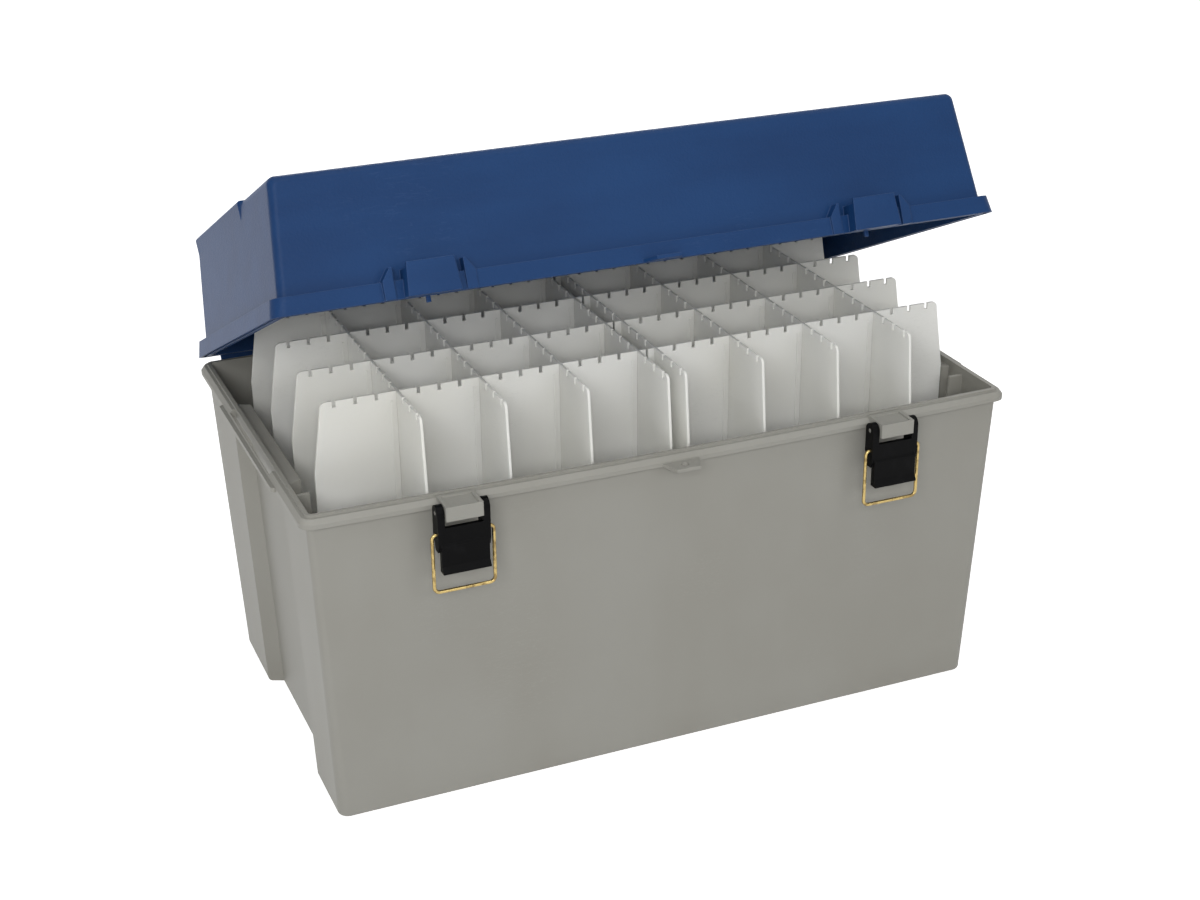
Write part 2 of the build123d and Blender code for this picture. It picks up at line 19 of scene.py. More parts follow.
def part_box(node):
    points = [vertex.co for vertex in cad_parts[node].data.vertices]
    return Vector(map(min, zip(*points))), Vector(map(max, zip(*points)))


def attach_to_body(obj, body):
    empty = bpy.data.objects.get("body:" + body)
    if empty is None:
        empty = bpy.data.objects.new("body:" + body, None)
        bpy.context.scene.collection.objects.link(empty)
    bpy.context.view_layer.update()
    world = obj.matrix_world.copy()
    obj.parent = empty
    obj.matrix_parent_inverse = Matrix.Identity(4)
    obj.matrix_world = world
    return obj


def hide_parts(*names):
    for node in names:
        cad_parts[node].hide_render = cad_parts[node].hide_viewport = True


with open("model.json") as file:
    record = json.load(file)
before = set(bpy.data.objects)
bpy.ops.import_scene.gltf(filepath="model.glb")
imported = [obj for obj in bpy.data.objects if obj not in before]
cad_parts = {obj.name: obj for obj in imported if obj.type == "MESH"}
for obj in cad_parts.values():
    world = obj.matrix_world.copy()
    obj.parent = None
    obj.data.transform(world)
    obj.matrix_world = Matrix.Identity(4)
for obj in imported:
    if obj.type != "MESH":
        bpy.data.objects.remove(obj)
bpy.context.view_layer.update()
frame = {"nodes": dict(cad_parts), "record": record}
nodes = frame["nodes"]

# %% [markdown]
# ## The photographer's place
#
# A catalogue photograph can be undone like a perspective drawing: the box's straight edges say where
# the lens was. The camera stood in front of the left half of the box, a little above it, with a
# long lens. A lens is given by its focal length on a 36 mm wide film, and a place on a sphere round the
# box by an azimuth and an elevation, so that is how the numbers are kept here.

# %% Camera
PHOTO_WIDTH = 1200
PHOTO_FOCAL = 1955.1
PHOTO_MIDDLE = (600.0, 450.0)
OPTICAL_CENTRE = (600.6, 450.1)
FILM_WIDTH = 36.0
CAMERA_AIM = Vector((0.00483, 0.0, 0.17847))
CAMERA_AZIMUTH = radians(-22.659)
CAMERA_ELEVATION = radians(24.549)
CAMERA_ROLL = radians(-0.573)
CAMERA_DISTANCE = 1.5073
SEEN_FROM, SEEN_TO = 0.05, 30.0


def photo_camera():
    """A camera that looks at the box as the photograph does."""
    lens = bpy.data.cameras.new("photo_camera")
    lens.sensor_width = FILM_WIDTH
    lens.lens = PHOTO_FOCAL / PHOTO_WIDTH * FILM_WIDTH
    lens.shift_x = (PHOTO_MIDDLE[0] - OPTICAL_CENTRE[0]) / PHOTO_WIDTH
    lens.shift_y = (OPTICAL_CENTRE[1] - PHOTO_MIDDLE[1]) / PHOTO_WIDTH
    lens.clip_start = SEEN_FROM
    lens.clip_end = SEEN_TO
    camera = bpy.data.objects.new("photo_camera", lens)
    bpy.context.scene.collection.objects.link(camera)
    level = cos(CAMERA_ELEVATION)
    away = Vector((sin(CAMERA_AZIMUTH) * level, -cos(CAMERA_AZIMUTH) * level, sin(CAMERA_ELEVATION)))
    camera.location = CAMERA_AIM + CAMERA_DISTANCE * away
    facing = (-away).to_track_quat("-Z", "Y").to_matrix()
    camera.rotation_euler = (facing @ Matrix.Rotation(CAMERA_ROLL, 3, "Z")).to_euler()
    bpy.context.scene.camera = camera
    return camera


camera = photo_camera()
print("camera at", [round(c, 3) for c in camera.location], "lens", round(camera.data.lens, 1), "mm")

# %% [markdown]
# ## Writing shaders as sums
#
# A material is a net of small boxes joined by wires, and long sums of boxes are hard to read. Python can
# hide the boxes: a class wraps one output socket and answers to +, -, * and / by adding a Math node.
# `1 - mask` must work as well as `mask - 1`, so each operator also has its reflected form. Colours
# and directions have three parts, and a Math node would keep only one, so they have methods of
# their own.

# %% Sockets that add up


class Wire:
    """An output socket of one finish, ready for arithmetic."""

    def __init__(self, finish, socket):
        self.finish = finish
        self.socket = socket

    def maths(self, operation, *others):
        """Any Math operation with this value first."""
        values = dict(enumerate((self, *others)))
        return self.finish.node("ShaderNodeMath", {"operation": operation}, values)

    def maths_after(self, first, operation):
        """A Math operation with this value second."""
        return self.finish.node("ShaderNodeMath", {"operation": operation}, {0: first, 1: self})

    def __add__(self, other):
        return self.maths("ADD", other)

    def __radd__(self, other):
        return self.maths_after(other, "ADD")

    def __sub__(self, other):
        return self.maths("SUBTRACT", other)

    def __rsub__(self, other):
        return self.maths_after(other, "SUBTRACT")

    def __mul__(self, other):
        return self.maths("MULTIPLY", other)

    def __rmul__(self, other):
        return self.maths_after(other, "MULTIPLY")

    def __truediv__(self, other):
        return self.maths("DIVIDE", other)

    def __rtruediv__(self, other):
        return self.maths_after(other, "DIVIDE")

    def __abs__(self):
        return self.maths("ABSOLUTE")

    def between(self, low, high):
        """0 below low, 1 above high and a smooth climb from one to the other."""
        limits = {"Value": self, "From Min": low, "From Max": high}
        return self.finish.node("ShaderNodeMapRange", {"interpolation_type": "SMOOTHSTEP"}, limits)

    def stretched(self, x, y, z):
        """A direction or a place with each of its parts multiplied."""
        sockets = {0: self, 1: (x, y, z)}
        return self.finish.node("ShaderNodeVectorMath", {"operation": "MULTIPLY"}, sockets)

    def along(self, other):
        """Dot product: 1 where two unit directions agree."""
        sockets = {0: self, 1: other}
        return self.finish.node("ShaderNodeVectorMath", {"operation": "DOT_PRODUCT"}, sockets, "Value")

    def part(self, name):
        """The X, Y or Z part of a place."""
        return self.finish.node("ShaderNodeSeparateXYZ", {}, {"Vector": self}, name)


# %% [markdown]
# ## One net for each finish
#
# A second class holds the net itself, of a material or of the room. One method adds any node: its
# settings come first, because some of them change which sockets the node has, and then its sockets are
# filled with plain values or with wires. The Mix node keeps one set of sockets for each kind of data, so
# its colour sockets are called by their numbers.

# %% One net, node by node
MIX_FIRST, MIX_SECOND, MIX_RESULT = 6, 7, 2


class Finish:
    """The node net of one material or world."""

    def __init__(self, owner):
        self.owner = owner
        owner.use_nodes = True
        self.tree = owner.node_tree
        self.tree.nodes.clear()

    def node(self, kind, settings, sockets, out=0):
        """Any node: its settings first, then its sockets, as plain values or as wires."""
        made = self.tree.nodes.new(kind)
        for name, value in settings.items():
            setattr(made, name, value)
        for name, value in sockets.items():
            if isinstance(value, Wire):
                self.tree.links.new(value.socket, made.inputs[name])
            else:
                made.inputs[name].default_value = value
        return Wire(self, made.outputs[out]) if made.outputs else None

    def place(self):
        """Where a point is on the object, in metres, whatever its pose."""
        return self.node("ShaderNodeTexCoord", {}, {}, "Object")

    def mix(self, mask, first, second):
        """Colour first where the mask is 0 and second where it is 1."""
        sockets = {"Factor": mask, MIX_FIRST: first, MIX_SECOND: second}
        return self.node("ShaderNodeMix", {"data_type": "RGBA"}, sockets, MIX_RESULT)

    def noise(self, place, per_metre, detail=2.0, roughness=0.5):
        """Cloudy pattern, about 0 to 1, with a number of blobs per metre."""
        sockets = {"Vector": place, "Scale": per_metre, "Detail": detail, "Roughness": roughness}
        return self.node("ShaderNodeTexNoise", {}, sockets)

    def pebbles(self, place, per_metre, smoothness=0.6):
        """Rounded cells with dark seams between them."""
        sockets = {"Vector": place, "Scale": per_metre, "Smoothness": smoothness}
        return self.node("ShaderNodeTexVoronoi", {"feature": "SMOOTH_F1"}, sockets)

    def plastic(self, colour, rough, normal, gloss):
        """A plastic skin, with a gloss of 0.5 for a plain one and less for a duller one."""
        sockets = {"Base Color": colour, "Roughness": rough, "Normal": normal, "Specular IOR Level": gloss}
        return self.node("ShaderNodeBsdfPrincipled", {}, sockets)

    def end(self, shader, output="ShaderNodeOutputMaterial"):
        """Joins the last shader to the net's output."""
        self.node(output, {}, {"Surface": shader})
        return self.owner


trial = Finish(bpy.data.materials.new("trial"))
mask = trial.noise(trial.place(), per_metre=10.0)
print("1 - mask gives a node that says", (1.0 - mask).socket.node.operation)
bpy.data.materials.remove(trial.owner)

# %% [markdown]
# ## Edges that catch the light
#
# No moulded edge is perfectly sharp: it has a small radius, and that radius draws the thin bright lines
# by which the eye reads a plastic box. Rounding a few thousand edges in the mesh would be slow and
# easy to spoil. The Bevel node gives the same look by bending the surface normal near an edge. Where the
# bent normal differs from the flat one, there is an edge, so the same node also says where the finishes
# paint their edges paler, partly as wear where hands and floors have rubbed and partly as a painted
# highlight.

# %% Rounded edges and rub lines
BEVEL_SAMPLES = 6
EDGE_TURN = (0.01, 0.25)
MIDDLE_GREY = 0.5


def rounded_edges(finish, radius):
    """Normal of a surface whose edges are rounded by a radius, and a mask that is 1 on the edges."""
    bent = finish.node("ShaderNodeBevel", {"samples": BEVEL_SAMPLES}, {"Radius": radius})
    flat = finish.node("ShaderNodeNewGeometry", {}, {}, "Normal")
    edge = (1.0 - bent.along(flat)).between(*EDGE_TURN)
    return bent, edge


def grain(finish, height, normal, depth, strength):
    """Bump from a height pattern on top of a normal."""
    sockets = {"Strength": strength, "Distance": depth, "Height": height, "Normal": normal}
    return finish.node("ShaderNodeBump", {}, sockets)


def rub_lines(finish, place, per_metre, stretch, width, patches_per_metre, patches):
    """Fine lines, long where the stretch is small, inside the patches that get rubbed."""
    lines = finish.noise(place.stretched(*stretch), per_metre, detail=3.0, roughness=0.65)
    fine = (1.0 - abs(lines - MIDDLE_GREY) / width).between(0.0, 1.0)
    rubbed = finish.noise(place, patches_per_metre, detail=1.0).between(*patches)
    return fine * rubbed


# %% [markdown]
# ## The shell's warm grey
#
# The body is injection moulded in one warm light grey. Its mould was lightly spark-eroded, so the surface
# has a very fine, even grain that only shows as a soft sheen. A flat colour would look like paper. Three
# scales make it plastic: cloudy colour over a hand's width, grain under a millimetre, and a few scuffs,
# with some dirt low down. Its edges are painted paler, partly as wear and partly as a painted highlight.
# Sizes in a finish are in metres.

# %% Body plastic
SHELL_GREY = (0.318, 0.313, 0.284, 1.0)
SHELL_GREY_WARM = (0.292, 0.284, 0.252, 1.0)
SHELL_WARM_SHARE = (0.3, 0.75)
SHELL_CLOUDS = {"per_metre": 7.0, "detail": 3.0}
SHELL_FLOW = {"per_metre": 24.0}
SHELL_FLOW_STRETCH = (1.0, 1.0, 0.25)
SHELL_CLOUD_WEIGHT, SHELL_FLOW_WEIGHT = 0.7, 0.3
SHELL_SCUFF_AND_HIGHLIGHT = (0.43, 0.425, 0.39, 1.0)
SHELL_RUB_SHOWS, SHELL_WEAR_AND_HIGHLIGHT_SHOWS, SHELL_DIRT_SHOWS = 0.22, 0.35, 0.25
SHELL_RUBS = {
    "per_metre": 60.0, "stretch": (1.0, 1.0, 5.0), "width": 0.012,
    "patches_per_metre": 11.0, "patches": (0.55, 0.72),
}
SHELL_DIRT = (0.20, 0.185, 0.155, 1.0)
SHELL_DIRT_SHARE = (0.4, 0.8)
SHELL_DIRT_TOP = 0.03
SHELL_EDGE = 0.0007
SHELL_GRAIN = {"per_metre": 1500.0, "roughness": 0.6}
SHELL_GRAIN_BUMP = {"depth": 0.00018, "strength": 0.30}
SHELL_ROUGH, SHELL_ROUGH_GRAIN, SHELL_ROUGH_RUB, SHELL_EDGE_POLISH = 0.46, 0.10, 0.12, 0.08
SHELL_GLOSS = 0.35
finishes = {}


def body_plastic():
    """Warm grey moulded plastic with a fine grain."""
    finish = Finish(bpy.data.materials.new("body_plastic"))
    place = finish.place()
    normal, edge = rounded_edges(finish, SHELL_EDGE)
    cloud = finish.noise(place, **SHELL_CLOUDS)
    flow = finish.noise(place.stretched(*SHELL_FLOW_STRETCH), **SHELL_FLOW)
    warm = (cloud * SHELL_CLOUD_WEIGHT + flow * SHELL_FLOW_WEIGHT).between(*SHELL_WARM_SHARE)
    colour = finish.mix(warm, SHELL_GREY, SHELL_GREY_WARM)
    rubs = rub_lines(finish, place, **SHELL_RUBS)
    low = 1.0 - place.part("Z").between(0.0, SHELL_DIRT_TOP)
    dirt = low * cloud.between(*SHELL_DIRT_SHARE)
    colour = finish.mix(rubs * SHELL_RUB_SHOWS, colour, SHELL_SCUFF_AND_HIGHLIGHT)
    colour = finish.mix(dirt * SHELL_DIRT_SHOWS, colour, SHELL_DIRT)
    # Edges painted paler: partly wear, partly a painted highlight. The same pale colour also serves the
    # real scuffs.
    colour = finish.mix(edge * SHELL_WEAR_AND_HIGHLIGHT_SHOWS, colour, SHELL_SCUFF_AND_HIGHLIGHT)
    fine = finish.noise(place, **SHELL_GRAIN)
    rough = SHELL_ROUGH + fine * SHELL_ROUGH_GRAIN + rubs * SHELL_ROUGH_RUB - edge * SHELL_EDGE_POLISH
    bumpy = grain(finish, fine, normal, **SHELL_GRAIN_BUMP)
    return finish.end(finish.plastic(colour, rough, bumpy, SHELL_GLOSS))


def keep(slot, material):
    """Notes the material of one slot and says how large its net is."""
    finishes[slot] = material
    print(slot, "is a net of", len(material.node_tree.nodes), "nodes")


keep("body_plastic", body_plastic())

# %% [markdown]
# ## The lid's blue
#
# The lid is a tougher grade with a coarser, pebbled grain, which hides fingerprints on the piece that is
# handled most. Smooth Voronoi cells look like that grain when they are small. The colour is a
# deep blue, and the grain scatters the light of the room, so that the faces seen at a low angle turn
# greyer. A used lid also has faint pale rub lines along its length, and its edges are painted paler,
# partly as wear and partly as a painted highlight.

# %% Lid plastic
LID_BLUE = (0.0090, 0.045, 0.144, 1.0)
LID_BLUE_DEEP = (0.0062, 0.034, 0.115, 1.0)
LID_DEEP_SHARE = (0.35, 0.7)
LID_CLOUDS = {"per_metre": 6.0, "detail": 3.0}
LID_STREAKS = {"per_metre": 40.0}
LID_STREAK_STRETCH = (0.2, 1.0, 1.0)
LID_CLOUD_WEIGHT, LID_STREAK_WEIGHT = 0.65, 0.35
LID_RUB_AND_HIGHLIGHT = (0.085, 0.135, 0.275, 1.0)
LID_RUB_SHOWS, LID_WEAR_AND_HIGHLIGHT_SHOWS = 0.10, 0.5
LID_RUBS = {
    "per_metre": 50.0, "stretch": (0.35, 1.0, 2.5), "width": 0.012,
    "patches_per_metre": 9.0, "patches": (0.52, 0.7),
}
LID_EDGE = 0.0009
LID_PEBBLES_PER_METRE = 520.0
LID_GRAIN = {"per_metre": 1700.0, "roughness": 0.6}
LID_GRAIN_BUMP = {"depth": 0.00035, "strength": 0.55}
LID_PEBBLE_WEIGHT, LID_GRAIN_WEIGHT = 0.7, 0.3
LID_ROUGH, LID_ROUGH_GRAIN, LID_ROUGH_RUB = 0.40, 0.12, 0.1
LID_GLOSS = 0.17


def lid_plastic():
    """Blue moulded plastic with a pebbled grain."""
    finish = Finish(bpy.data.materials.new("lid_plastic"))
    place = finish.place()
    normal, edge = rounded_edges(finish, LID_EDGE)
    cloud = finish.noise(place, **LID_CLOUDS)
    streak = finish.noise(place.stretched(*LID_STREAK_STRETCH), **LID_STREAKS)
    deep = (cloud * LID_CLOUD_WEIGHT + streak * LID_STREAK_WEIGHT).between(*LID_DEEP_SHARE)
    colour = finish.mix(deep, LID_BLUE, LID_BLUE_DEEP)
    rubs = rub_lines(finish, place, **LID_RUBS)
    colour = finish.mix(rubs * LID_RUB_SHOWS, colour, LID_RUB_AND_HIGHLIGHT)
    # Edges painted paler: partly wear, partly a painted highlight. The same pale blue also serves the real
    # rub lines.
    colour = finish.mix(edge * LID_WEAR_AND_HIGHLIGHT_SHOWS, colour, LID_RUB_AND_HIGHLIGHT)
    pebble = finish.pebbles(place, LID_PEBBLES_PER_METRE)
    fine = finish.noise(place, **LID_GRAIN)
    rough = LID_ROUGH + fine * LID_ROUGH_GRAIN + rubs * LID_ROUGH_RUB
    relief = pebble * LID_PEBBLE_WEIGHT + fine * LID_GRAIN_WEIGHT
    bumpy = grain(finish, relief, normal, **LID_GRAIN_BUMP)
    return finish.end(finish.plastic(colour, rough, bumpy, LID_GLOSS))


keep("lid_plastic", lid_plastic())

# %% [markdown]
# ## Milky rack plates
#
# The racks are cut from a thin, unpigmented plastic. Light goes in, scatters and comes out of the
# other side, so a plate in front of a dark gap looks greyer than one in front of a lit wall. Glass would
# be wrong, because nothing is seen sharply through it. A glossy plastic mixed with a Translucent shader
# gives the scatter without the cost of a volume.

# %% Rack plastic
RACK_WHITE = (0.93, 0.93, 0.905, 1.0)
RACK_CREAM = (0.90, 0.895, 0.85, 1.0)
RACK_CREAM_SHARE = (0.35, 0.75)
RACK_GLOW = (0.93, 0.93, 0.90, 1.0)
RACK_LIGHT_THROUGH, RACK_CLOUD_THROUGH, RACK_EDGE_THROUGH = 0.28, 0.1, 0.1
RACK_CLOUDS = {"per_metre": 9.0, "detail": 3.0}
RACK_WIPES = {
    "per_metre": 70.0, "stretch": (1.0, 1.0, 3.0), "width": 0.015,
    "patches_per_metre": 14.0, "patches": (0.5, 0.7),
}
RACK_WIPE_SHOWS = 0.12
RACK_EDGE = 0.00035
RACK_GRAIN = {"per_metre": 420.0, "detail": 3.0}
RACK_GRAIN_BUMP = {"depth": 0.0001, "strength": 0.25}
RACK_ROUGH, RACK_ROUGH_GRAIN, RACK_ROUGH_WIPE = 0.34, 0.12, 0.15
RACK_IOR = 1.49


def rack_plastic():
    """Milky plastic that lets some light through."""
    finish = Finish(bpy.data.materials.new("rack_plastic"))
    place = finish.place()
    normal, edge = rounded_edges(finish, RACK_EDGE)
    cloud = finish.noise(place, **RACK_CLOUDS)
    colour = finish.mix(cloud.between(*RACK_CREAM_SHARE), RACK_WHITE, RACK_CREAM)
    wipes = rub_lines(finish, place, **RACK_WIPES)
    colour = finish.mix(wipes * RACK_WIPE_SHOWS, colour, SHELL_SCUFF_AND_HIGHLIGHT)
    fine = finish.noise(place, **RACK_GRAIN)
    rough = RACK_ROUGH + fine * RACK_ROUGH_GRAIN + wipes * RACK_ROUGH_WIPE
    bumpy = grain(finish, fine, normal, **RACK_GRAIN_BUMP)
    sockets = {"Base Color": colour, "Roughness": rough, "Normal": bumpy, "IOR": RACK_IOR}
    skin = finish.node("ShaderNodeBsdfPrincipled", {}, sockets)
    through = finish.node("ShaderNodeBsdfTranslucent", {}, {"Color": RACK_GLOW})
    clouded = (cloud - MIDDLE_GREY) * RACK_CLOUD_THROUGH
    share = RACK_LIGHT_THROUGH + clouded - edge * RACK_EDGE_THROUGH
    return finish.end(finish.node("ShaderNodeMixShader", {}, {"Fac": share, 1: skin, 2: through}))


keep("rack_plastic", rack_plastic())

# %% [markdown]
# ## Black latches
#
# The levers are a satin black plastic that is a little smoother on the edges, where fingers pull it, and
# paler there, partly as wear and partly as a painted highlight. A black that reflects as much as other
# plastics looks grey in a white room, so its gloss is low.

# %% Latch plastic
LATCH_BLACK = (0.0018, 0.0018, 0.002, 1.0)
LATCH_WORN_AND_HIGHLIGHT = (0.012, 0.012, 0.013, 1.0)
LATCH_WORN_SHARE = (0.5, 0.8)
LATCH_CLOUDS = {"per_metre": 90.0, "detail": 3.0}
LATCH_CLOUD_SHOWS, LATCH_WEAR_AND_HIGHLIGHT_SHOWS = 0.25, 0.6
LATCH_EDGE = 0.0006
LATCH_GRAIN = {"per_metre": 1800.0}
LATCH_GRAIN_BUMP = {"depth": 0.0001, "strength": 0.25}
LATCH_ROUGH, LATCH_ROUGH_GRAIN, LATCH_ROUGH_CLOUD, LATCH_EDGE_POLISH = 0.30, 0.10, 0.10, 0.06
LATCH_GLOSS = 0.06


def latch_plastic():
    """Satin black plastic."""
    finish = Finish(bpy.data.materials.new("latch_plastic"))
    place = finish.place()
    normal, edge = rounded_edges(finish, LATCH_EDGE)
    cloud = finish.noise(place, **LATCH_CLOUDS)
    # Edges painted paler, partly as wear and partly as a painted highlight, and paler patches from the
    # clouds as real wear.
    worn_and_highlit = edge * LATCH_WEAR_AND_HIGHLIGHT_SHOWS + cloud.between(*LATCH_WORN_SHARE) * LATCH_CLOUD_SHOWS
    colour = finish.mix(worn_and_highlit, LATCH_BLACK, LATCH_WORN_AND_HIGHLIGHT)
    fine = finish.noise(place, **LATCH_GRAIN)
    rough = LATCH_ROUGH + fine * LATCH_ROUGH_GRAIN + cloud * LATCH_ROUGH_CLOUD - edge * LATCH_EDGE_POLISH
    bumpy = grain(finish, fine, normal, **LATCH_GRAIN_BUMP)
    return finish.end(finish.plastic(colour, rough, bumpy, LATCH_GLOSS))


keep("latch_plastic", latch_plastic())

# %% [markdown]
# ## Brass loops and steel pins
#
# The loops are drawn brass wire. A metal has no colour of its own under its gloss, so its tint goes into
# a fully metallic shader, with faint lines along the wire and a duller film in patches. The pins are
# plain steel rod, and the same function makes both.

# %% Brass and steel
BRASS = (0.46, 0.345, 0.14, 1.0)
BRASS_DULL = (0.22, 0.155, 0.065, 1.0)
STEEL = (0.56, 0.56, 0.55, 1.0)
STEEL_DULL = (0.36, 0.35, 0.34, 1.0)
FILM = {"per_metre": 220.0, "detail": 3.0}
FILM_SHARE = (0.42, 0.72)
DRAWN_LINES = {"per_metre": 2600.0}
DRAWN_STRETCH = (1.0, 1.0, 0.08)
DRAWN_BUMP = {"depth": 0.00004, "strength": 0.2}
METAL_ROUGH, METAL_ROUGH_FILM, METAL_ROUGH_LINES = 0.17, 0.14, 0.06
WIRE_EDGE = 0.0003


def metal(name, bright, dull):
    """Drawn wire or rod with a film that is duller in patches."""
    finish = Finish(bpy.data.materials.new(name))
    place = finish.place()
    normal, _ = rounded_edges(finish, WIRE_EDGE)
    film = finish.noise(place, **FILM)
    colour = finish.mix(film.between(*FILM_SHARE), bright, dull)
    lines = finish.noise(place.stretched(*DRAWN_STRETCH), **DRAWN_LINES)
    rough = METAL_ROUGH + film * METAL_ROUGH_FILM + lines * METAL_ROUGH_LINES
    bumpy = grain(finish, lines, normal, **DRAWN_BUMP)
    sockets = {"Base Color": colour, "Metallic": 1.0, "Roughness": rough, "Normal": bumpy}
    return finish.end(finish.node("ShaderNodeBsdfPrincipled", {}, sockets))


keep("brass", metal("brass", BRASS, BRASS_DULL))
keep("steel", metal("steel", STEEL, STEEL_DULL))

# %% [markdown]
# ## Dressing the solids
#
# Each solid names a finish in its record, so one loop can dress them all. A solid arrives with a plain
# stand-in material, and only the slot is changed: the mesh itself is left as measured.

# %% Give every solid its finish
for part in frame["record"]["subparts"]:
    solid = nodes[part["node"]]
    for slot in solid.material_slots:
        slot.material = finishes[part["material_slot"]]

# %% [markdown]
# ## Working in millimetres
#
# The pieces that follow are cut to a drawing in millimetres, while the scene is in metres. Three short
# helpers keep the numbers readable. The first turns a list of corners and faces into a mesh. The second
# skins a row of sections with equal numbers of corners, as a boat's planks cover its frames. The third
# pushes a flat outline into a plate, which is the same thing with two sections.

# %% Corners, sections and plates
MM = 0.001


def solid_piece(name, corners, faces):
    """A mesh object from corners in millimetres and faces that list them."""
    shape = bmesh.new()
    points = [shape.verts.new(Vector(corner) * MM) for corner in corners]
    for face in faces:
        shape.faces.new([points[index] for index in face])
    bmesh.ops.recalc_face_normals(shape, faces=shape.faces)
    mesh = bpy.data.meshes.new(name)
    shape.to_mesh(mesh)
    shape.free()
    piece = bpy.data.objects.new(name, mesh)
    bpy.context.scene.collection.objects.link(piece)
    return piece


def swept(name, sections):
    """A solid through a row of sections with equal numbers of corners."""
    count = len(sections[0])
    corners = [corner for section in sections for corner in section]
    faces = [tuple(range(count)), tuple(range(len(corners) - 1, len(corners) - count - 1, -1))]
    for row in range(len(sections) - 1):
        near, far = row * count, (row + 1) * count
        for i in range(count):
            j = (i + 1) % count
            faces.append((near + i, near + j, far + j, far + i))
    return solid_piece(name, corners, faces)


def pushed(name, outline, start, end):
    """A plate: the outline moved by start, and again by end, with walls between them."""
    return swept(name, [[Vector(point) + Vector(move) for point in outline] for move in (start, end)])


# %% [markdown]
# ## Cross plates with crisp corners
#
# The plates that run from front to back are punched out of sheet with a row of little notches along
# the top, from which hooks hang, and the notches go on almost to the front corner, which is hardly
# rounded. A punched outline is a list of points, so the plate is drawn as one: up from the foot,
# along the top with a notch at each place, and down again, with a slot from below for each long plate
# that it crosses. A row of separate cutters would give the same plate far more slowly.

# %% The cross plate's outline
PLATE_LOW, PLATE_RIM, PLATE_TOP = 3.3, 242.0, 293.3
PLATE_FOOT_Y = (-135.6, 129.6)
PLATE_RIM_Y = (-143.2, 141.1)
PLATE_TAPER = 5.5
PLATE_CORNER = 4.5
CORNER_STEPS = 5
LONG_PLATES_Y = (-86.0, -26.6, 32.8, 92.2)
SLOT_HALF = 1.0
SLOT_TOP = 148.3
NOTCH_WIDTH, NOTCH_DEPTH = 2.6, 4.6
NOTCH_STEP = 14.85
NOTCHES_PER_CELL = 4
NOTCH_MARGIN = 2.0


def softened(before, corner, after, reach):
    """Points of a small curve in place of a corner, starting at the given distance from it."""
    before, corner, after = Vector(before), Vector(corner), Vector(after)
    start = corner + (before - corner).normalized() * reach
    end = corner + (after - corner).normalized() * reach
    points = []
    for step in range(CORNER_STEPS + 1):
        t = step / CORNER_STEPS
        points.append(start * (1 - t) ** 2 + corner * 2 * t * (1 - t) + end * t ** 2)
    return points


def notches(front_top, rear_top):
    """Corners of the notches from the rear to the front, with none where a long plate crosses."""
    first = LONG_PLATES_Y[0]
    lowest = ceil((front_top + PLATE_CORNER + NOTCH_MARGIN - first) / NOTCH_STEP)
    highest = int((rear_top - PLATE_CORNER - NOTCH_MARGIN - first) / NOTCH_STEP)
    bottom = PLATE_TOP - NOTCH_DEPTH
    corners = []
    for number in range(highest, lowest - 1, -1):
        if number % NOTCHES_PER_CELL:
            middle = first + number * NOTCH_STEP
            low, high = middle - NOTCH_WIDTH / 2, middle + NOTCH_WIDTH / 2
            corners += [(high, PLATE_TOP), (high, bottom), (low, bottom), (low, PLATE_TOP)]
    return corners


def cross_plate_outline():
    """The cross plate's corners in Y and Z, from the front foot round by the rear."""
    front_foot, rear_foot = PLATE_FOOT_Y
    front_rim, rear_rim = PLATE_RIM_Y
    front_top, rear_top = front_rim + PLATE_TAPER, rear_rim - PLATE_TAPER
    outline = [(front_foot, PLATE_LOW)]
    for y in LONG_PLATES_Y:
        low, high = y - SLOT_HALF, y + SLOT_HALF
        outline += [(low, PLATE_LOW), (low, SLOT_TOP), (high, SLOT_TOP), (high, PLATE_LOW)]
    outline += [(rear_foot, PLATE_LOW), (rear_rim, PLATE_RIM)]
    front_corner, rear_corner = (front_top, PLATE_TOP), (rear_top, PLATE_TOP)
    outline += softened((rear_rim, PLATE_RIM), rear_corner, front_corner, PLATE_CORNER)
    outline += notches(front_top, rear_top)
    outline += softened(rear_corner, front_corner, (front_rim, PLATE_RIM), PLATE_CORNER)
    outline.append((front_rim, PLATE_RIM))
    return outline


plate_outline = cross_plate_outline()
print("corners of a cross plate's outline:", len(plate_outline))

# %% Cross plates
PLATE = 1.8
PLATES_PER_RACK = 4


def make_cross_plate(side, number):
    """One punched plate in the place of its measured solid."""
    node = f"{side}_rack_fin_{number}"
    low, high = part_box(node)
    middle = (low[0] + high[0]) / 2 / MM
    outline = [(middle, *point) for point in plate_outline]
    plate = pushed(f"{side}_cross_plate_{number}", outline, (-PLATE / 2, 0, 0), (PLATE / 2, 0, 0))
    plate.data.materials.append(finishes["rack_plastic"])
    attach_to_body(plate, f"{side}_rack")
    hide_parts(node)
    return plate


for side in ("left", "right"):
    for number in range(1, PLATES_PER_RACK + 1):
        plate = make_cross_plate(side, number)
        print(plate.name, "has", len(plate.data.vertices), "corners")

# %% [markdown]
# ## Trimming a copy, and adding to it
#
# The measured body has a lip that is square where the moulded one slopes, and the measured lid has
# catches that are a little wide. Both are large shapes with a great many faces, so they are not drawn
# again. A copy is taken, and cutters remove what is too much, as a file would. The Exact solver is slower
# than the others, but it copes with faces that nearly touch. The copy's points are first welded, because
# a solid made of loose triangles has no inside for a cutter to work on. What is added is a closed shape
# of its own that stands a little way into the wall, and it only joins the copy's mesh. A Boolean union
# would have to find every line where two moulded walls meet, and it left holes when it was tried.

# %% Copy and cut
WELD = 2e-6


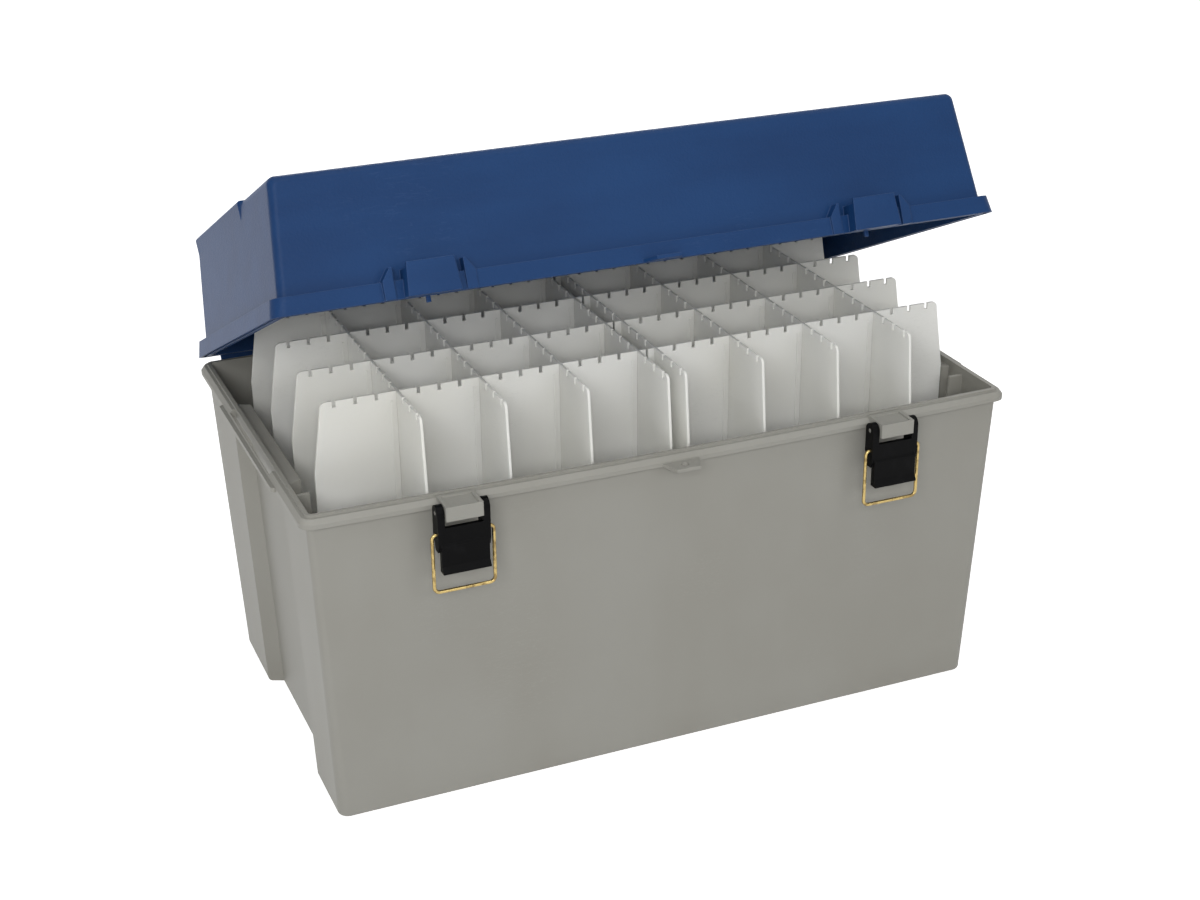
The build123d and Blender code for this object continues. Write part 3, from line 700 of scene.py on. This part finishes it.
def copy_of_solid(name, node, finish):
    """A piece with the same mesh as a measured solid, welded into one skin."""
    shape = bmesh.new()
    shape.from_mesh(nodes[node].data)
    bmesh.ops.remove_doubles(shape, verts=shape.verts, dist=WELD)
    mesh = bpy.data.meshes.new(name)
    shape.to_mesh(mesh)
    shape.free()
    mesh.materials.clear()
    mesh.materials.append(finishes[finish])
    piece = bpy.data.objects.new(name, mesh)
    bpy.context.scene.collection.objects.link(piece)
    return piece


def made_real(piece):
    """Turns what a piece's modifiers show into its own mesh."""
    bpy.context.view_layer.update()
    seen = piece.evaluated_get(bpy.context.evaluated_depsgraph_get())
    mesh = bpy.data.meshes.new_from_object(seen)
    piece.modifiers.clear()
    piece.data = mesh


def cut(piece, tool):
    """Cuts the tool out of a piece and clears the tool away."""
    modifier = piece.modifiers.new("cut", "BOOLEAN")
    modifier.operation = "DIFFERENCE"
    modifier.solver = "EXACT"
    modifier.object = tool
    made_real(piece)
    bpy.data.objects.remove(tool)


def report(piece):
    """Says how large a piece's mesh is, and how many of its edges don't join exactly two faces."""
    shape = bmesh.new()
    shape.from_mesh(piece.data)
    loose = sum(1 for edge in shape.edges if len(edge.link_faces) != 2)
    print(piece.name, "has", len(shape.verts), "corners and", loose, "open edges")
    shape.free()


body = copy_of_solid("body_with_sloped_lip", "body_shell", "body_plastic")
lid = copy_of_solid("lid_with_gussets", "lid_shell", "lid_plastic")
report(body)
report(lid)

# %% [markdown]
# ## Smooth where it should be
#
# A measured solid brings its own normals, and after a cut they no longer fit the faces. They are dropped,
# every edge with a clear turn is marked as sharp, and elsewhere the normals follow the largest face
# nearby. Flat walls then stay flat up to their edges, and round corners stay round.

# %% Attach and shade
SHARP_TURN = radians(28)
LARGEST_FACE_WINS = 100


def attach(piece, part):
    """Adds a closed part that stands in a piece's wall to its mesh, and clears the part away."""
    shape = bmesh.new()
    shape.from_mesh(piece.data)
    shape.from_mesh(part.data)
    for face in shape.faces:
        face.material_index = 0
    shape.to_mesh(piece.data)
    shape.free()
    bpy.data.objects.remove(part)


def shaded_by_area(piece):
    """Sharp edges where faces turn a lot, and elsewhere normals that follow the largest face."""
    mesh = piece.data
    if "custom_normal" in mesh.attributes:
        mesh.attributes.remove(mesh.attributes["custom_normal"])
    mesh.shade_smooth()
    mesh.set_sharp_from_angle(angle=SHARP_TURN)
    modifier = piece.modifiers.new("normals", "WEIGHTED_NORMAL")
    modifier.keep_sharp = True
    modifier.weight = LARGEST_FACE_WINS
    made_real(piece)


# %% [markdown]
# ## The lip that sheds water
#
# Outside the thin bead on which the lid closes runs a shallow groove, and outside that the lip
# slopes down to a narrow upright edge, so that rain runs off. The slope catches the light from above, and
# that is the pale band round the whole box. The cutter is one sloping section swept round the outline:
# it stops at each latch bracket and hinge, which stand on the lip. A station is a place on that way. It
# is written as a rule that takes a distance outwards from the wall, so that one row of stations serves
# every corner of the section.

# %% Stations round the rim
RIM_HALF_LENGTH = 263.5
RIM_HALF_DEPTH = 146.5
RIM_CORNER = 5.0
RIM_BOW = 4.0
QUARTER_TURN = 90.0
CORNER_PARTS = 6
FRONT_PARTS = 12


def evenly(start, end, parts):
    """Places with equal gaps, from start to end."""
    return [start + (end - start) * i / parts for i in range(parts + 1)]


def bow(x, half_length):
    """How far the front bulges at a place along it."""
    return RIM_BOW * (1 - (x / half_length) ** 2)


def front_row(start, end):
    """Stations along the front, which bulges a little."""
    return [
        lambda out, x=x: (x, -(RIM_HALF_DEPTH + out) - bow(x, RIM_HALF_LENGTH + out))
        for x in evenly(start, end, FRONT_PARTS)
    ]


def rear_row(start, end):
    """Stations along the straight rear."""
    return [lambda out, x=x: (x, RIM_HALF_DEPTH + out) for x in (start, end)]


def corner_row(side, front):
    """Stations round a corner, from the front or the rear to the end."""
    centre_x = side * (RIM_HALF_LENGTH - RIM_CORNER)
    centre_y = front * (RIM_HALF_DEPTH - RIM_CORNER)
    if front < 0:
        centre_y -= bow(centre_x, RIM_HALF_LENGTH + RIM_CORNER)
    return [
        lambda out, a=radians(turn): (
            centre_x + side * (RIM_CORNER + out) * sin(a),
            centre_y + front * (RIM_CORNER + out) * cos(a),
        )
        for turn in evenly(0.0, QUARTER_TURN, CORNER_PARTS)
    ]


# %% Five runs of the lip
LATCH_X, BRACKET_HALF = 163.3, 13.05
HINGE_X, HINGE_HALF = 165.0, 20.35


def round_an_end(side):
    """Stations from a latch bracket round one end to the hinge behind it."""
    corner_x = side * (RIM_HALF_LENGTH - RIM_CORNER)
    front = front_row(side * (LATCH_X + BRACKET_HALF), corner_x)[:-1] + corner_row(side, -1)
    rear = corner_row(side, 1)[::-1] + rear_row(corner_x, side * (HINGE_X + HINGE_HALF))[1:]
    return front + rear


lip_runs = [front_row(BRACKET_HALF - LATCH_X, LATCH_X - BRACKET_HALF)]
for side in (-1, 1):
    lip_runs.append(round_an_end(side))
    lip_runs.append(rear_row(side * HINGE_HALF, side * (HINGE_X - HINGE_HALF)))
print("stations in each run of the lip:", [len(run) for run in lip_runs])

# %% Cut the lip
GROOVE_FLOOR = 240.62
LIP_EDGE_TOP = 237.22
ABOVE_RIM = 243.5
GROOVE_START, SLOPE_START, SLOPE_END, PAST_LIP = 2.0, 2.4, 5.0, 9.5
LIP_SECTION = [
    (GROOVE_START, GROOVE_FLOOR), (SLOPE_START, GROOVE_FLOOR), (SLOPE_END, LIP_EDGE_TOP),
    (PAST_LIP, LIP_EDGE_TOP), (PAST_LIP, ABOVE_RIM), (GROOVE_START, ABOVE_RIM),
]


def lip_cutter(name, stations):
    """The section swept through stations."""
    return swept(name, [[(*station(out), z) for out, z in LIP_SECTION] for station in stations])


for number, stations in enumerate(lip_runs):
    cut(body, lip_cutter(f"lip_cutter_{number}", stations))
shaded_by_area(body)
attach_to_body(body, "body")
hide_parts("body_shell")
report(body)

# %% [markdown]
# ## The closed lid on paper
#
# The catches are small shapes that stand square on a closed lid, so they are drawn with the lid closed,
# and each finished shape is then turned about the hinge to where the lid stands. The old catches are cut
# away and the wall stays whole, so the cutter follows the wall with a thin skin left between them. The
# wall leans back a little, and its front bulges as the rim does.

# %% The closed lid's walls
LID_OPEN = radians(25.0)
HINGE_Y, HINGE_Z = 153.3, 235.6
LID_LOW, LID_HIGH = 242.4, 333.0
LID_HALF_LENGTH, LID_HALF_DEPTH = 262.4, 145.4
LID_END_DRAFT, LID_FRONT_DRAFT = 8.3, 1.9
FLANGE_HALF_LENGTH, FLANGE_HALF_DEPTH, FLANGE_TOP = 268.5, 151.5, 254.8
FLANGE_END_DRAFT, FLANGE_FRONT_DRAFT = 2.2, 0.6
SKIN = 0.02


def opened(piece):
    """Turns a piece of the closed lid to where the lid stands."""
    turn = Matrix.Rotation(-LID_OPEN, 4, "X")
    hinge = Matrix.Translation(Vector((0, HINGE_Y, HINGE_Z)) * MM)
    piece.data.transform(hinge @ turn @ hinge.inverted())
    return piece


def wall_front(x, z):
    """How far forward the skin of the lid's wall is at a place."""
    share = (z - LID_LOW) / (LID_HIGH - LID_LOW)
    half_length = LID_HALF_LENGTH - LID_END_DRAFT * share
    return LID_HALF_DEPTH - LID_FRONT_DRAFT * share + bow(x, half_length) + SKIN


def flange_front(x, share):
    """How far forward the skin of the flange is, from its foot at share 0 to its top at 1."""
    half_length = FLANGE_HALF_LENGTH - FLANGE_END_DRAFT * share
    return FLANGE_HALF_DEPTH - FLANGE_FRONT_DRAFT * share + bow(x, half_length) + SKIN


ledge_depth = flange_front(0, 1) - wall_front(0, FLANGE_TOP)
print("the lid's wall stands", round(ledge_depth, 2), "mm behind its flange")

# %% Clear the catches' places
CATCH_ZONE = 36.5
CATCH_ZONE_TOP = 266.0
CATCH_ZONE_FRONT = 172.0
CATCH_ZONE_PARTS = 12
BELOW_LID = 1


def catch_zone_section(x):
    """What stands in front of the plain flange and wall at x."""
    ledge = FLANGE_TOP + SKIN
    foot = LID_LOW - BELOW_LID
    outline = [
        (CATCH_ZONE_FRONT, foot), (flange_front(x, 0), foot), (flange_front(x, 0), LID_LOW),
        (flange_front(x, 1), ledge), (wall_front(x, ledge), ledge),
        (wall_front(x, CATCH_ZONE_TOP), CATCH_ZONE_TOP), (CATCH_ZONE_FRONT, CATCH_ZONE_TOP),
    ]
    return [(x, -forward, z) for forward, z in outline]


for x in (-LATCH_X, LATCH_X):
    places = evenly(x - CATCH_ZONE, x + CATCH_ZONE, CATCH_ZONE_PARTS)
    cut(lid, opened(swept("catch_zone", [catch_zone_section(place) for place in places])))
report(lid)

# %% [markdown]
# ## Catches between gussets
#
# A wire loop hooks over a narrow block on the lid's front, which is drawn in towards its top and has a
# crease down the middle. On each side of the block, past a dark slot for the wire, a thin gusset
# stands up and falls away outwards. Their faces are few and flat, so they are written down corner by
# corner. They start a hair above the lid's lower edge, so that no two faces lie in one plane.

# %% One catch
INSIDE_LID_WALL = 146.3
HAIR = 0.05
CATCH_LOW = LID_LOW + HAIR
CATCH_HALF, CATCH_HALF_TOP = 18.2, 16.3
CATCH_FRONT, CATCH_CREASE = 163.67, 1.1
CATCH_SEAT, CATCH_SEAT_TOP, CATCH_LIP_TOP = 161.67, 261.456, 264.86
TOOL_MARGIN = 5


def catch_section(x, z):
    """Outline of the catch at a height."""
    share = (z - LID_LOW) / (CATCH_LIP_TOP - LID_LOW)
    half = CATCH_HALF + (CATCH_HALF_TOP - CATCH_HALF) * share
    back, front = -INSIDE_LID_WALL, -CATCH_FRONT
    crease = (x, front - CATCH_CREASE, z)
    return [(x - half, back, z), (x - half, front, z), crease, (x + half, front, z), (x + half, back, z)]


def make_catch(x):
    """Block with a lip in front of the seat for the wire."""
    block = swept("catch", [catch_section(x, CATCH_LOW), catch_section(x, CATCH_LIP_TOP)])
    start, width = x - 2 * CATCH_HALF, 4 * CATCH_HALF
    front, back = -CATCH_SEAT, TOOL_MARGIN - INSIDE_LID_WALL
    low, high = CATCH_SEAT_TOP, CATCH_LIP_TOP + TOOL_MARGIN
    seat = [(start, front, low), (start, back, low), (start, back, high), (start, front, high)]
    cut(block, pushed("seat", seat, (0, 0, 0), (width, 0, 0)))
    return block


print("the catch's lip stands", round(CATCH_LIP_TOP - CATCH_SEAT_TOP, 2), "mm over the wire's seat")

# %% One gusset
GUSSET_INNER, GUSSET_OUTER, GUSSET_EDGE = 24.2, 31.7, 1.6
GUSSET_HEIGHT, GUSSET_PROUD = 21.0, 4.5


def make_gusset(x, turn):
    """Thin upright that falls away from the catch, on the side that turn gives."""
    inner = x + turn * GUSSET_INNER
    outer = x + turn * GUSSET_OUTER
    edge = x + turn * (GUSSET_INNER + GUSSET_EDGE)
    top = LID_LOW + GUSSET_HEIGHT
    front = FLANGE_HALF_DEPTH + GUSSET_PROUD
    outline = [
        (inner, 0, CATCH_LOW), (outer, 0, CATCH_LOW), (outer, 0, FLANGE_TOP),
        (edge, 0, top), (inner, 0, top),
    ]
    return pushed("gusset", outline, (0, -front, 0), (0, -INSIDE_LID_WALL, 0))


print("a gusset stands", GUSSET_PROUD, "mm in front of the flange at the lid's ends")

# %% Put the catches on the lid
for x in (-LATCH_X, LATCH_X):
    attach(lid, opened(make_catch(x)))
    for turn in (-1, 1):
        attach(lid, opened(make_gusset(x, turn)))
shaded_by_area(lid)
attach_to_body(lid, "lid")
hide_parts("lid_shell")
report(lid)

# %% [markdown]
# ## A table and a studio
#
# Catalogue pictures are cut out on white. Turning the lamps up until the table burns out would bleach the
# box as well, so the white is only for rays that come straight from the camera, a mirror or a window.
# Those rays see a bright table and a white room, while the light that falls on the box stays level.

# %% Floor
FLOOR_SIZE = 12.0
FLOOR_SQUARES = 4
FLOOR_DROP = 0.0002
FLOOR_GLOW = 0.80
FLOOR_PAINT = (0.80, 0.80, 0.80, 1.0)
WHITE = (1.0, 1.0, 1.0, 1.0)


def seen_directly(finish):
    """1 for rays of the camera, of mirrors and of windows, and 0 for light that falls on things."""
    kinds = ("Camera", "Glossy", "Transmission")
    camera_ray, mirror_ray, window_ray = (
        finish.node("ShaderNodeLightPath", {}, {}, f"Is {kind} Ray") for kind in kinds
    )
    return camera_ray.maths("MAXIMUM", mirror_ray).maths("MAXIMUM", window_ray)


def floor_finish():
    """White paper that glows a little in the picture, and still takes a shadow."""
    finish = Finish(bpy.data.materials.new("floor_paper"))
    paper = finish.node("ShaderNodeBsdfDiffuse", {}, {"Color": FLOOR_PAINT})
    glow = finish.node("ShaderNodeEmission", {}, {"Color": WHITE, "Strength": FLOOR_GLOW})
    both = finish.node("ShaderNodeAddShader", {}, {0: paper, 1: glow})
    sockets = {"Fac": seen_directly(finish), 1: paper, 2: both}
    return finish.end(finish.node("ShaderNodeMixShader", {}, sockets))


def make_floor():
    """Large flat sheet just under the box."""
    sheet = bmesh.new()
    bmesh.ops.create_grid(sheet, x_segments=FLOOR_SQUARES, y_segments=FLOOR_SQUARES, size=FLOOR_SIZE / 2)
    mesh = bpy.data.meshes.new("floor")
    sheet.to_mesh(mesh)
    sheet.free()
    floor = bpy.data.objects.new("floor", mesh)
    bpy.context.scene.collection.objects.link(floor)
    floor.location.z = -FLOOR_DROP
    mesh.materials.append(floor_finish())
    return floor


floor = make_floor()
print("table:", [round(side, 1) for side in floor.dimensions[:2]], "m")

# %% [markdown]
# ## Light
#
# The picture has no hard shadow: the racks are the brightest, the front and the left end are nearly
# alike, and only the room under the lid is almost black. One large lamp in front on the left does most
# of that. A weaker one on the right opens its shadows, and three more, low on the left, above and
# behind, lift the end, the rim and the lid's top. A dim white room fills in the rest.

# %% Lamps
LAMPS = {
    "key_lamp": {"power": 34.0, "place": (-1.3, -2.35, 1.5), "size": (1.5, 0.9), "aim": (0.0, -0.1, 0.22)},
    "fill_lamp": {"power": 10.0, "place": (0.8, -2.5, 1.4), "size": (1.5, 0.9), "aim": (0.0, -0.1, 0.2)},
    "side_lamp": {"power": 4.0, "place": (-2.2, -0.6, 0.3), "size": (1.4, 0.6), "aim": (-0.2, 0.0, 0.1)},
    "top_lamp": {"power": 12.0, "place": (0.0, -0.5, 2.2), "size": (2.0, 1.4), "aim": (0.0, 0.0, 0.2)},
    "back_lamp": {"power": 15.0, "place": (0.7, 2.5, 1.2), "size": (1.6, 1.0), "aim": (0.0, 0.1, 0.2)},
}


def soft_lamp(name, power, place, size, aim):
    """Oblong area lamp that points at a place."""
    light = bpy.data.lights.new(name, "AREA")
    light.shape = "RECTANGLE"
    light.size, light.size_y = size
    light.energy = power
    lamp = bpy.data.objects.new(name, light)
    bpy.context.scene.collection.objects.link(lamp)
    lamp.location = place
    lamp.rotation_euler = (Vector(aim) - Vector(place)).to_track_quat("-Z", "Y").to_euler()
    return lamp


for name, setting in LAMPS.items():
    soft_lamp(name, **setting)
print("lamps and their power in watts:", {name: setting["power"] for name, setting in LAMPS.items()})

# %% Room
ROOM_LEVEL = 0.24


def white_room():
    """World that is white where it is seen and dim where it lights."""
    room = Finish(bpy.data.worlds.new("white_room"))
    strength = ROOM_LEVEL + seen_directly(room) * (1.0 - ROOM_LEVEL)
    shine = room.node("ShaderNodeBackground", {}, {"Color": WHITE, "Strength": strength})
    return room.end(shine, "ShaderNodeOutputWorld")


bpy.context.scene.world = white_room()
bpy.context.scene.view_settings.view_transform = "Standard"
print("room:", bpy.context.scene.world.name, "at", ROOM_LEVEL)
